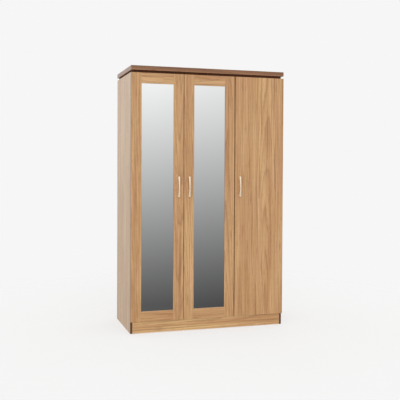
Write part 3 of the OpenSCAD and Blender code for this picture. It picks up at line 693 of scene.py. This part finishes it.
def worked_metal(name, colour, roughness, brush, clouding=0.1, metallic=1.0):
    """Plated metal whose polish marks run as the brush numbers say, features to the metre."""
    colour = tuple(colour)
    finish = Finish(name)
    marks = finish.noise(finish.place, brush, 3, 0.6)
    smears = finish.noise(finish.place, (40, 40, 40), 3)
    dull = dulled(colour, 1 - clouding)
    tone = finish.mix(smears, colour, dull)
    polish = finish.math("MULTIPLY_ADD", marks, 0.14, roughness - 0.07)
    finish.relief(marks, 0.00004, 0.25)
    return finish.surface(tone, polish, metallic)


def spangled_zinc(name, colour):
    """Bright zinc plate with faint crystal patches."""
    colour = tuple(colour)
    finish = Finish(name)
    patches = finish.cells(finish.place, (260, 260, 260))
    dull = dulled(colour, 0.8)
    tone = finish.mix(patches, colour, dull)
    haze = finish.noise(finish.place, (500, 500, 500), 2)
    finish.relief(haze, 0.00003, 0.2)
    return finish.surface(tone, finish.math("MULTIPLY_ADD", haze, 0.2, 0.2), metallic=1.0)


def silvered_glass(name, colour):
    """Float glass, silvered behind, with the faintest haze."""
    colour = tuple(colour)
    finish = Finish(name)
    haze = finish.noise(finish.place, (3, 3, 3), 2)
    dull = dulled(colour, 0.985)
    tone = finish.mix(haze, colour, dull)
    polish = finish.math("MULTIPLY_ADD", haze, 0.004, 0.002)
    return finish.surface(tone, polish, metallic=1.0)


def moulded_plastic(name, colour, roughness):
    """Moulded plastic with a fine spark-eroded texture."""
    colour = tuple(colour)
    finish = Finish(name)
    texture = finish.noise(finish.place, (900, 900, 900), 2)
    clouds = finish.noise(finish.place, (60, 60, 60), 2)
    dull = dulled(colour, 0.93)
    finish.relief(texture, 0.00004, 0.3)
    polish = finish.math("MULTIPLY_ADD", texture, 0.12, roughness - 0.06)
    return finish.surface(finish.mix(clouds, colour, dull), polish)


def islands(shape):
    """The separate solids of a mesh, each as a list of its corners."""
    unseen = set(shape.verts)
    while unseen:
        found, edge_of_search = [], [unseen.pop()]
        while edge_of_search:
            corner = edge_of_search.pop()
            found.append(corner)
            for edge in corner.link_edges:
                other = edge.other_vert(corner)
                if other in unseen:
                    unseen.remove(other)
                    edge_of_search.append(other)
        yield found


def sides_touched(corner, low, high, kept_sharp):
    """Which sides of a box a corner lies on, such as +X, less those kept sharp."""
    touched = set()
    for axis, name in enumerate(AXES):
        for sign, limit in (("-", low[axis]), ("+", high[axis])):
            if abs(corner.co[axis] - limit) < TOUCHING and sign + name not in kept_sharp:
                touched.add(sign + name)
    return touched


def softened_copy(node, name, softening, kept_sharp=()):
    """The board's mesh with its outer edges eased. Bores and grooves stay as they are."""
    source = NODES[node].data
    mesh = bpy.data.meshes.new(name)
    mesh.from_pydata(
        [corner.co for corner in source.vertices],
        [],
        [tuple(face.vertices) for face in source.polygons],
    )
    shape = bmesh.new()
    shape.from_mesh(mesh)
    bmesh.ops.remove_doubles(shape, verts=shape.verts, dist=SAME_PLACE)
    bmesh.ops.dissolve_limit(
        shape, angle_limit=FLAT_ANGLE, verts=shape.verts, edges=shape.edges
    )
    outer = []
    for corners in list(islands(shape)):
        low = [min(corner.co[axis] for corner in corners) for axis in range(3)]
        high = [max(corner.co[axis] for corner in corners) for axis in range(3)]
        touched = {c: sides_touched(c, low, high, kept_sharp) for c in corners}
        for edge in {edge for corner in corners for edge in corner.link_edges}:
            first, second = edge.verts
            on_corner = len(touched[first] & touched[second]) >= 2
            if on_corner and edge.calc_length() > SHORTEST_EASED_EDGE:
                outer.append(edge)
    bmesh.ops.bevel(
        shape,
        geom=outer,
        offset=softening,
        offset_type="OFFSET",
        segments=EASING_SEGMENTS,
        profile=0.5,
        affect="EDGES",
        clamp_overlap=True,
    )
    bmesh.ops.recalc_face_normals(shape, faces=shape.faces)
    shape.to_mesh(mesh)
    shape.free()
    return mesh


def add_piece(name, mesh, body, slot, material, replaced):
    """Shows the mesh as a piece of the wardrobe that rides on a body."""
    piece = bpy.data.objects.new(name, mesh)
    bpy.context.scene.collection.objects.link(piece)
    piece.data.materials.clear()
    piece.data.materials.append(material)
    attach(piece, body)
    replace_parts(piece, *replaced)
    return piece


def dress_node(node, material):
    """Gives a CAD node that stays in view its finish."""
    for held in NODES[node].material_slots:
        held.link = "OBJECT"
        held.material = material


def tape_edges(piece, tape):
    """Gives the long upright edges of a board, those that face sideways, edge tape."""
    low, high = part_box(piece["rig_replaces"][0])
    piece.data.materials.append(tape)
    for face in piece.data.polygons:
        at_side = min(face.center.x - low.x, high.x - face.center.x) < TAPE_DEPTH
        if at_side and abs(face.normal.x) > TAPE_FACING:
            face.material_index = 1


def add_board(node, along, across, settings, kept_sharp=(), tint=(1, 1, 1), dullness=0.0):
    """Replaces a board by one with eased edges and its own stretch of printed foil."""
    low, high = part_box(node)
    slot = SLOT_OF[node]
    tones = {
        "oak": (settings.oak_pale, settings.oak_warm, settings.oak_grain),
        "walnut": (settings.walnut_pale, settings.walnut_warm, settings.walnut_grain),
        "dark_walnut": (settings.dark_pale, settings.dark_pale, settings.dark_grain),
    }[slot]
    tones = [tinted(tone, tint) for tone in tones]
    name = node + "_foiled"
    foil = wood_foil(
        node + "_foil", tones, along, across, (low + high) / 2, node, settings, dullness
    )
    mesh = softened_copy(node, name, settings.softening, kept_sharp)
    return add_piece(name, mesh, NODES[node]["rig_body"], slot, foil, [node])


def edge_tape(settings):
    """The dark tape on the upright edges of the doors, made once for all of them."""
    name = "door_edge_tape"
    known = bpy.data.materials.get(name)
    tones = (settings.walnut_pale, settings.walnut_warm, settings.walnut_grain)
    return known or wood_foil(name, tones, "Z", "Y", (0, 0, 0), name, settings)


class CarcassBoards(bpy.types.Operator):
    """Adds the sides, partition, floor, ceiling and plinth of the carcass"""

    bl_idname = "wardrobe.carcass_boards"
    bl_label = "Carcass boards"

    def execute(self, context):
        settings = context.scene.wardrobe_wood
        # The sides and the partition take the tint with painted sheen: their foil is paled and
        # greyed to stand for the sheen seen at a grazing angle
        for node in ("side_panel_left", "side_panel_right", "centre_partition"):
            add_board(node, "Z", "Y", settings, ("-Y",), tuple(settings.painted_sheen_tint))
        for node in ("bottom_board", "carcass_top", "plinth_support"):
            add_board(node, "X", "Y", settings)
        # The plinth boards take a tint of painted light: their foil is brightened to cancel
        # the shade of their recess under the doors
        for node in ("plinth_front", "plinth_back"):
            add_board(node, "X", "Z", settings, tint=tuple(settings.plinth_painted_light))
        add_board("side_edging", "Z", "Y", settings, ("+Y",), (0.5, 0.5, 0.45))
        return {"FINISHED"}


class TopBoard(bpy.types.Operator):
    """Adds the walnut top board and the dark strips that hold it clear of the carcass"""

    bl_idname = "wardrobe.top_board"
    bl_label = "Top board"

    def execute(self, context):
        settings = context.scene.wardrobe_wood
        add_board("top_board", "X", "Y", settings)
        add_board("spacer_strips", "X", "Y", settings, dullness=0.5)
        return {"FINISHED"}


class Shelves(bpy.types.Operator):
    """Adds the hat shelf and the loose shelves"""

    bl_idname = "wardrobe.shelves"
    bl_label = "Shelves"

    def execute(self, context):
        settings = context.scene.wardrobe_wood
        for node in ("hat_shelf", "shelf_lower", "shelf_middle", "shelf_upper"):
            add_board(node, "X", "Y", settings)
        return {"FINISHED"}


class FramedDoors(bpy.types.Operator):
    """Adds the stiles, rails and beads that hold the mirrors"""

    bl_idname = "wardrobe.framed_doors"
    bl_label = "Framed doors"

    def execute(self, context):
        settings = context.scene.wardrobe_wood
        tape = edge_tape(settings)
        for door in MIRRORED_DOORS:
            add_board("mirror_beads_" + door, "Z", "X", settings)
            for upright in ("hinge_stile_", "handle_stile_"):
                tape_edges(add_board(upright + door, "Z", "X", settings), tape)
            for level in ("top_rail_", "bottom_rail_"):
                add_board(level + door, "X", "Z", settings)
        return {"FINISHED"}


class PlainDoor(bpy.types.Operator):
    """Adds the plain door"""

    bl_idname = "wardrobe.plain_door"
    bl_label = "Plain door"

    def execute(self, context):
        settings = context.scene.wardrobe_wood
        door = add_board("door_panel_right", "Z", "X", settings)
        tape_edges(door, edge_tape(settings))
        return {"FINISHED"}


class Mirrors(bpy.types.Operator):
    """Silvers the mirrors and finishes the sheets behind them and behind the carcass"""

    bl_idname = "wardrobe.mirrors"
    bl_label = "Mirrors and back sheets"

    def execute(self, context):
        glass = silvered_glass("silvered_glass", context.scene.wardrobe_metal.silvering)
        board = hardboard_sheet("printed_hardboard", context.scene.wardrobe_wood)
        for door in MIRRORED_DOORS:
            dress_node("mirror_" + door, glass)
            dress_node("mirror_backing_" + door, board)
        for sheet in ("left", "middle", "right"):
            dress_node("back_panel_" + sheet, board)
        return {"FINISHED"}


def rounded_section(half_width, back, front):
    """Outline of the handle bar across its length: (sideways, forward) points."""
    corner = min(HANDLE_CORNER, half_width * 0.45, (front - back) * 0.45)
    points = []
    for turn_x, turn_y, start in ((1, 0, 270), (1, 1, 0), (-1, 1, 90), (-1, 0, 180)):
        centre_x = turn_x * (half_width - corner)
        centre_y = front - corner if turn_y else back + corner
        for step in range(HANDLE_CORNER_POINTS):
            angle = math.radians(start + 90 * step / (HANDLE_CORNER_POINTS - 1))
            x = centre_x + corner * math.cos(angle)
            y = centre_y + corner * math.sin(angle)
            if turn_y:
                y -= HANDLE_CROWN * (x / half_width) ** 2
            points.append((x, y))
    return points


def arc_height(rise, half, place):
    """Height of a shallow arc above its ends, where it crosses half at nothing."""
    radius = (half * half + rise * rise) / (2 * rise)
    return rise - radius + math.sqrt(radius**2 - place**2)


def bow_handle_mesh(name, node, door_face, settings):
    """An arched bar, slim in the middle and deep at its two feet, with rounded edges."""
    low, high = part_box(node)
    centre_x, centre_z = (low.x + high.x) / 2, (low.z + high.z) / 2
    half = (high.z - low.z) / 2
    reach = door_face - low.y
    arch_half = half - settings.foot_length
    arch_rise = reach - settings.thickness
    end_round = HANDLE_END_ROUND
    quarter = math.pi / 2 / (HANDLE_END_LOOPS - 1)
    levels = [
        half - end_round * (1 - math.cos(quarter * loop)) for loop in range(HANDLE_END_LOOPS)
    ]
    levels += [
        half - end_round - HANDLE_FOOT_STEP * (loop + 1) for loop in range(HANDLE_FOOT_LOOPS)
    ]
    inner = arch_half - HANDLE_ARCH_STEP
    levels += [arch_half + HANDLE_ARCH_STEP, inner]
    levels += [inner * (1 - loop / HANDLE_ARCH_LOOPS) for loop in range(1, HANDLE_ARCH_LOOPS)]
    levels = [-level for level in levels] + [0.0] + list(reversed(levels))
    shape = bmesh.new()
    loops = []
    for level in levels:
        front = reach - settings.bow_rise
        front += arc_height(settings.bow_rise, half, level)
        back = 0.0
        if abs(level) < arch_half:
            back = max(0.0, arc_height(arch_rise, arch_half, level))
        width = settings.waist_width
        width += (settings.end_width - settings.waist_width) * (level / half) ** 2
        over = max(0.0, abs(level) - (half - end_round)) / end_round
        cut = end_round * (1 - math.sqrt(max(0.0, 1 - over**2)))
        section = rounded_section(width / 2 - cut, back, front - 0.6 * cut)
        loops.append(
            [
                shape.verts.new((centre_x + x, door_face - y, centre_z + level))
                for x, y in section
            ]
        )
    for lower, upper in zip(loops, loops[1:]):
        for a in range(len(lower)):
            b = (a + 1) % len(lower)
            shape.faces.new((lower[a], lower[b], upper[b], upper[a]))
    shape.faces.new(loops[0])
    shape.faces.new(loops[-1])
    bmesh.ops.recalc_face_normals(shape, faces=shape.faces)
    for face in shape.faces:
        face.smooth = True
    mesh = bpy.data.meshes.new(name)
    shape.to_mesh(mesh)
    shape.free()
    mesh.set_sharp_from_angle(angle=HANDLE_SHARP_ANGLE)
    return mesh


class Handles(bpy.types.Operator):
    """Adds the arched handles"""

    bl_idname = "wardrobe.handles"
    bl_label = "Handles"

    def execute(self, context):
        settings = context.scene.wardrobe_metal
        nickel = worked_metal(
            "satin_nickel",
            settings.nickel,
            roughness=0.4,
            brush=(900, 900, 30),
            metallic=settings.metal_share,
        )
        for door in DOORS:
            node = "handle_" + door
            leaf = "door_panel_right" if door == "right" else "handle_stile_" + door
            door_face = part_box(leaf)[0].y
            name = f"bow_{node}"
            mesh = bow_handle_mesh(name, node, door_face, settings)
            add_piece(name, mesh, "door_" + door, "satin_nickel", nickel, [node])
        return {"FINISHED"}


class Fittings(bpy.types.Operator):
    """Finishes the rail, hinges, screws, pins, glides and buffers"""

    bl_idname = "wardrobe.fittings"
    bl_label = "Fittings"

    def execute(self, context):
        settings = context.scene.wardrobe_metal
        finishes = {
            "chrome": worked_metal(
                "bright_chrome",
                settings.chrome,
                roughness=0.12,
                brush=(90, 700, 700),
                clouding=0.03,
            ),
            "hinge_steel": worked_metal(
                "pressed_steel", settings.hinge_steel, roughness=0.3, brush=(200, 900, 200)
            ),
            "zinc": spangled_zinc("zinc_plate", settings.zinc),
            "white_plastic": moulded_plastic(
                "white_plastic", settings.white_plastic, roughness=0.45
            ),
            "clear_plastic": moulded_plastic(
                "clear_plastic", settings.clear_plastic, roughness=0.25
            ),
        }
        for node, slot in SLOT_OF.items():
            if slot in finishes:
                dress_node(node, finishes[slot])
        return {"FINISHED"}


def add_sun(name, strength, spread, heading, height):
    """Soft even light from a heading, right of straight in front, and an angle of height."""
    light = bpy.data.lights.new(name, "SUN")
    light.energy = strength
    light.angle = spread
    lamp = bpy.data.objects.new(name, light)
    bpy.context.scene.collection.objects.link(lamp)
    towards = Vector(
        (
            math.sin(heading) * math.cos(height),
            -math.cos(heading) * math.cos(height),
            math.sin(height),
        )
    )
    lamp.rotation_euler = towards.to_track_quat("Z", "Y").to_euler()
    return lamp


class Studio(bpy.types.Operator):
    """Adds the pale floor, the soft lights, what the mirrors show and the camera"""

    bl_idname = "wardrobe.studio"
    bl_label = "Studio"

    def execute(self, context):
        settings = context.scene.wardrobe_studio
        self.add_surroundings(context, settings)
        self.add_floor(settings)
        self.add_sky_dome()
        add_sun(
            "key",
            settings.key_strength,
            settings.key_spread,
            settings.key_heading,
            settings.key_height,
        )
        self.add_camera(context, settings)
        context.scene.view_settings.view_transform = "Standard"
        return {"FINISHED"}

    def add_surroundings(self, context, settings):
        world = bpy.data.worlds.new("plain_surroundings")
        world.use_nodes = True
        glow = world.node_tree.nodes["Background"]
        glow.inputs["Color"].default_value = (*settings.backdrop, 1)
        glow.inputs["Strength"].default_value = 1
        context.scene.world = world

    def add_floor(self, settings):
        shape = bmesh.new()
        bmesh.ops.create_circle(shape, cap_ends=True, radius=FLOOR_RADIUS, segments=96)
        mesh = bpy.data.meshes.new("studio_floor")
        shape.to_mesh(mesh)
        shape.free()
        floor = bpy.data.objects.new("studio_floor", mesh)
        bpy.context.scene.collection.objects.link(floor)
        finish = Finish("pale_floor")
        clouds = finish.noise(finish.place, (1.5, 1.5, 1.5), 2)
        colour = tuple(settings.floor)
        tone = finish.mix(clouds, colour, dulled(colour, 0.995))
        finish.surface(tone, 1.0)
        finish.shader.inputs["Specular IOR Level"].default_value = 0
        far = finish.vector("LENGTH", finish.place, Vector((0, 0, 0)))
        clear = finish.node("ShaderNodeBsdfTransparent")
        fade = finish.node("ShaderNodeMixShader")
        clearness = finish.spread(far, *FLOOR_FADE, settings.floor_clearness)
        finish.feed(fade.inputs[0], clearness)
        finish.tree.links.new(finish.shader.outputs[0], fade.inputs[1])
        finish.tree.links.new(clear.outputs[0], fade.inputs[2])
        output = finish.tree.nodes["Material Output"]
        finish.tree.links.new(fade.outputs[0], output.inputs["Surface"])
        mesh.materials.append(finish.material)
        floor.visible_glossy = False

    def add_sky_dome(self):
        """A wide dome, pale above and dark below, that only mirrors and gloss can see."""
        shape = bmesh.new()
        bmesh.ops.create_uvsphere(
            shape, u_segments=64, v_segments=32, radius=DOME_RADIUS
        )
        mesh = bpy.data.meshes.new("reflected_dome")
        shape.to_mesh(mesh)
        shape.free()
        for face in mesh.polygons:
            face.use_smooth = True
        dome = bpy.data.objects.new("reflected_dome", mesh)
        dome.location.z = DOME_HEIGHT
        bpy.context.scene.collection.objects.link(dome)
        finish = Finish("dome_glow")
        parts = finish.node("ShaderNodeSeparateXYZ")
        finish.feed(parts.inputs[0], finish.place)
        rise = finish.node("ShaderNodeMapRange")
        for socket, value in zip(rise.inputs, (parts.outputs["Z"], *DOME_RISE, 0, 1)):
            finish.feed(socket, value)
        share = rise.outputs["Result"]
        curve = finish.math("MULTIPLY_ADD", share, DOME_BEND, DOME_SLOPE)
        level = finish.math("MULTIPLY_ADD", share, curve, DOME_DARKEST)
        aside = finish.spread(parts.outputs["X"], *DOME_ASIDE)
        level = finish.math("MULTIPLY_ADD", aside, DOME_DIMMING, level)
        below = finish.spread(parts.outputs["Z"], *DOME_BELOW, DOME_BELOW_LEVEL, 0)
        behind = finish.math(
            "MULTIPLY",
            finish.spread(parts.outputs["Y"], *DOME_BEHIND),
            finish.math("MULTIPLY_ADD", share, *DOME_BEHIND_LEVELS),
        )
        level = finish.math("MAXIMUM", level, finish.math("MAXIMUM", below, behind))
        glow = finish.node("ShaderNodeEmission")
        light = finish.math("POWER", level, DISPLAY_GAMMA)
        strength = finish.math("MULTIPLY", light, DOME_STRENGTH)
        finish.feed(glow.inputs["Strength"], strength)
        output = finish.tree.nodes["Material Output"]
        finish.tree.links.new(glow.outputs[0], output.inputs["Surface"])
        finish.material.cycles.emission_sampling = "NONE"
        mesh.materials.append(finish.material)
        for kind in ("camera", "diffuse", "transmission", "volume_scatter", "shadow"):
            setattr(dome, "visible_" + kind, False)

    def add_camera(self, context, settings):
        lens = bpy.data.cameras.new("camera")
        lens.lens = settings.camera_lens
        lens.sensor_width = 36
        lens.shift_x, lens.shift_y = settings.camera_shift
        lens.clip_start, lens.clip_end = 0.05, 200
        camera = bpy.data.objects.new("camera", lens)
        context.scene.collection.objects.link(camera)
        turn = Matrix.Rotation(-settings.camera_heading, 4, "Z")
        turn @= Matrix.Rotation(math.radians(90) + settings.camera_tilt, 4, "X")
        turn @= Matrix.Rotation(settings.camera_roll, 4, "Z")
        camera.matrix_world = Matrix.Translation(settings.camera_place) @ turn
        context.scene.camera = camera


class WardrobePanel(bpy.types.Panel):
    """Lists the wardrobe's pieces and their settings"""

    bl_idname = "VIEW3D_PT_wardrobe"
    bl_label = "Wardrobe"
    bl_space_type = "VIEW_3D"
    bl_region_type = "UI"
    bl_category = "Wardrobe"

    def draw(self, context):
        layout = self.layout
        for operator in OPERATORS:
            layout.operator(operator.bl_idname)
        for title, group in SETTINGS:
            box = layout.box()
            box.label(text=title)
            values = getattr(context.scene, group)
            for key in values.__annotations__:
                box.prop(values, key)


OPERATORS = (
    CarcassBoards,
    TopBoard,
    Shelves,
    FramedDoors,
    PlainDoor,
    Mirrors,
    Handles,
    Fittings,
    Studio,
)
GROUPS = {
    "wardrobe_wood": WardrobeWoodSettings,
    "wardrobe_metal": WardrobeMetalSettings,
    "wardrobe_studio": WardrobeStudioSettings,
}
SETTINGS = (
    ("Wood", "wardrobe_wood"),
    ("Metal, glass and plastic", "wardrobe_metal"),
    ("Studio", "wardrobe_studio"),
)


def register():
    for name, group in GROUPS.items():
        bpy.utils.register_class(group)
        setattr(bpy.types.Scene, name, bpy.props.PointerProperty(type=group))
    for made in (*OPERATORS, WardrobePanel):
        bpy.utils.register_class(made)


def unregister():
    for made in (WardrobePanel, *reversed(OPERATORS)):
        bpy.utils.unregister_class(made)
    for name, group in GROUPS.items():
        delattr(bpy.types.Scene, name)
        bpy.utils.unregister_class(group)


def main():
    register()
    for operator in OPERATORS:
        group, name = operator.bl_idname.split(".")
        getattr(getattr(bpy.ops, group), name)()


if __name__ == "__main__":
    main()
